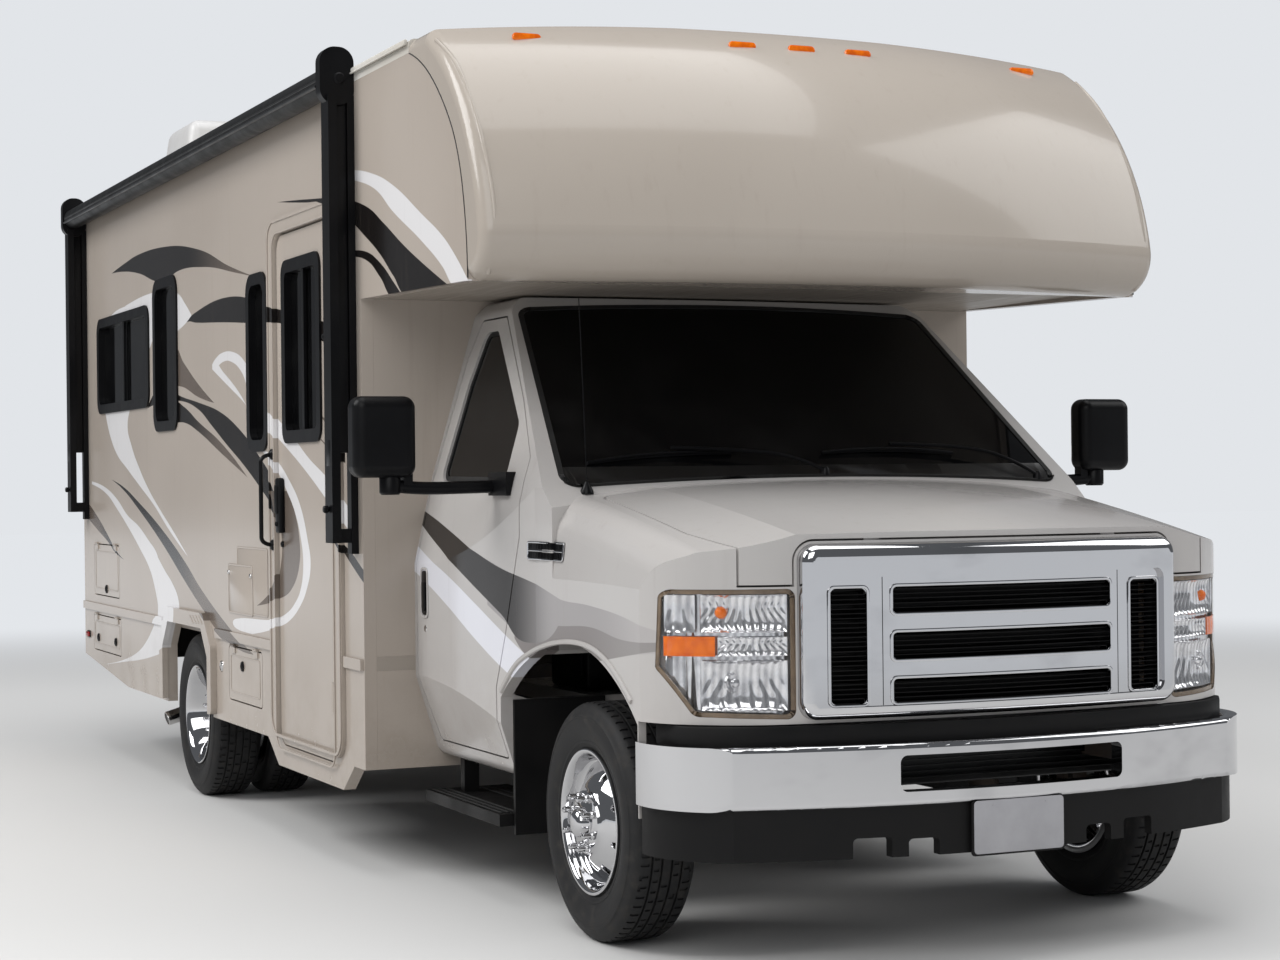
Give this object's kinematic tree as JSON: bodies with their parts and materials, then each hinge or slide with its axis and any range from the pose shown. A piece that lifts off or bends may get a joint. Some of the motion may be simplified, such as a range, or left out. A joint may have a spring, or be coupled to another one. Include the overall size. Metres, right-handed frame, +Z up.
{
  "type": "motorhome",
  "caption": "Motorhome on a van cutaway chassis with a bed over the cab, opening doors and hatches, steered front wheels and twin rear wheels.",
  "frame": {"origin": "on the ground, at the middle of the length and of the width", "axes": "+X forward along the vehicle, +Y to its left, +Z up"},
  "size_m": [7.3998, 3.01, 3.2253],
  "materials": {
    "coach_shell": "gloss",
    "cab_paint": "gloss",
    "roof_skin": "satin",
    "dark_glass": "polished",
    "black_plastic": "matt",
    "chrome": "polished",
    "lamp": "gloss",
    "tail_lamp": "gloss",
    "frame_steel": "satin",
    "cast_metal": "rough",
    "tyre_rubber": "matt",
    "floor_wood": "satin",
    "cushion": "woven",
    "awning_cloth": "woven",
    "bright_metal": "satin"
  },
  "bodies": {
    "coach": {"wall_right": "coach_shell", "wall_left": "coach_shell", "wall_rear": "coach_shell", "wall_front": "coach_shell", "floors": "floor_wood", "coach_roof": "roof_skin", "cabover_nose": "coach_shell", "cab_shell": "cab_paint", "windshield": "dark_glass", "grille": "chrome", "grille_louvres": "black_plastic", "headlamps": "lamp", "front_bumper": "chrome", "lower_trim": "black_plastic", "mud_flaps": "black_plastic", "chassis_frame": "frame_steel", "axles": "frame_steel", "engine_block": "cast_metal", "tank_and_exhaust": "cast_metal", "window_frames": "black_plastic", "window_glass": "dark_glass", "baggage_boxes": "black_plastic", "entry_step": "black_plastic", "side_trim": "coach_shell", "awning_roller": "awning_cloth", "awning_arms": "black_plastic", "roof_units": "roof_skin", "tail_lamps": "tail_lamp", "ladder": "bright_metal", "rear_bumper": "frame_steel", "seats": "cushion", "dashboard": "black_plastic", "cabinets": "floor_wood"},
    "knuckle_right": {"knuckle_right": "cast_metal"},
    "knuckle_left": {"knuckle_left": "cast_metal"},
    "wheel_front_right": {"tyre_front_right": "tyre_rubber", "rim_front_right": "chrome"},
    "wheel_front_left": {"tyre_front_left": "tyre_rubber", "rim_front_left": "chrome"},
    "wheels_rear_right": {"tyres_rear_right": "tyre_rubber", "rims_rear_right": "chrome"},
    "wheels_rear_left": {"tyres_rear_left": "tyre_rubber", "rims_rear_left": "chrome"},
    "hood": {"hood": "cab_paint"},
    "cab_door_right": {"cab_door_right": "cab_paint", "cab_glass_right": "dark_glass", "mirror_right": "black_plastic"},
    "cab_door_left": {"cab_door_left": "cab_paint", "cab_glass_left": "dark_glass", "mirror_left": "black_plastic"},
    "entry_door": {"entry_door": "coach_shell", "entry_window_frame": "black_plastic", "entry_window_glass": "dark_glass"},
    "hatch_rear_upper": {"hatch_rear_upper": "coach_shell"},
    "hatch_rear_lower": {"hatch_rear_lower": "coach_shell"},
    "hatch_forward": {"hatch_forward": "coach_shell"}
  },
  "joints": [
    {"name": "steer_right", "type": "hinge", "parent": "coach", "child": "knuckle_right", "pos_m": [2.82, -0.79, 0.366], "axis": [0, 0, 1], "range_deg": [-30, 30]},
    {"name": "steer_left", "type": "hinge", "parent": "coach", "child": "knuckle_left", "pos_m": [2.82, 0.79, 0.366], "axis": [0, 0, 1], "range_deg": [-30, 30]},
    {"name": "spin_front_right", "type": "hinge", "parent": "knuckle_right", "child": "wheel_front_right", "pos_m": [2.82, -0.881, 0.366], "axis": [0, 1, 0], "continuous": true},
    {"name": "spin_front_left", "type": "hinge", "parent": "knuckle_left", "child": "wheel_front_left", "pos_m": [2.82, 0.881, 0.366], "axis": [0, 1, 0], "continuous": true},
    {"name": "spin_rear_right", "type": "hinge", "parent": "coach", "child": "wheels_rear_right", "pos_m": [-1.193, -0.987, 0.366], "axis": [0, 1, 0], "continuous": true},
    {"name": "spin_rear_left", "type": "hinge", "parent": "coach", "child": "wheels_rear_left", "pos_m": [-1.193, 0.987, 0.366], "axis": [0, 1, 0], "continuous": true},
    {"name": "hood_hinge", "type": "hinge", "parent": "coach", "child": "hood", "pos_m": [2.618, 0, 1.418], "axis": [0, -1, 0], "range_deg": [0, 50]},
    {"name": "cab_door_right_hinge", "type": "hinge", "parent": "coach", "child": "cab_door_right", "pos_m": [2.358, -1.05, 1], "axis": [0, 0, 1], "range_deg": [0, 62]},
    {"name": "cab_door_left_hinge", "type": "hinge", "parent": "coach", "child": "cab_door_left", "pos_m": [2.358, 1.05, 1], "axis": [0, 0, -1], "range_deg": [0, 62]},
    {"name": "entry_door_hinge", "type": "hinge", "parent": "coach", "child": "entry_door", "pos_m": [1.088, -1.26, 1.3], "axis": [0, 0, 1], "range_deg": [0, 95]},
    {"name": "hatch_rear_upper_hinge", "type": "hinge", "parent": "coach", "child": "hatch_rear_upper", "pos_m": [-3.03, -1.256, 1.102], "axis": [-1, 0, 0], "range_deg": [0, 85]},
    {"name": "hatch_rear_lower_hinge", "type": "hinge", "parent": "coach", "child": "hatch_rear_lower", "pos_m": [-3.03, -1.256, 0.726], "axis": [-1, 0, 0], "range_deg": [0, 85]},
    {"name": "hatch_forward_hinge", "type": "hinge", "parent": "coach", "child": "hatch_forward", "pos_m": [-0.22, -1.256, 0.726], "axis": [-1, 0, 0], "range_deg": [0, 85]}
  ],
  "couplings": [
    {"joint": "steer_left", "follows": "steer_right", "ratio": 1}
  ]
}
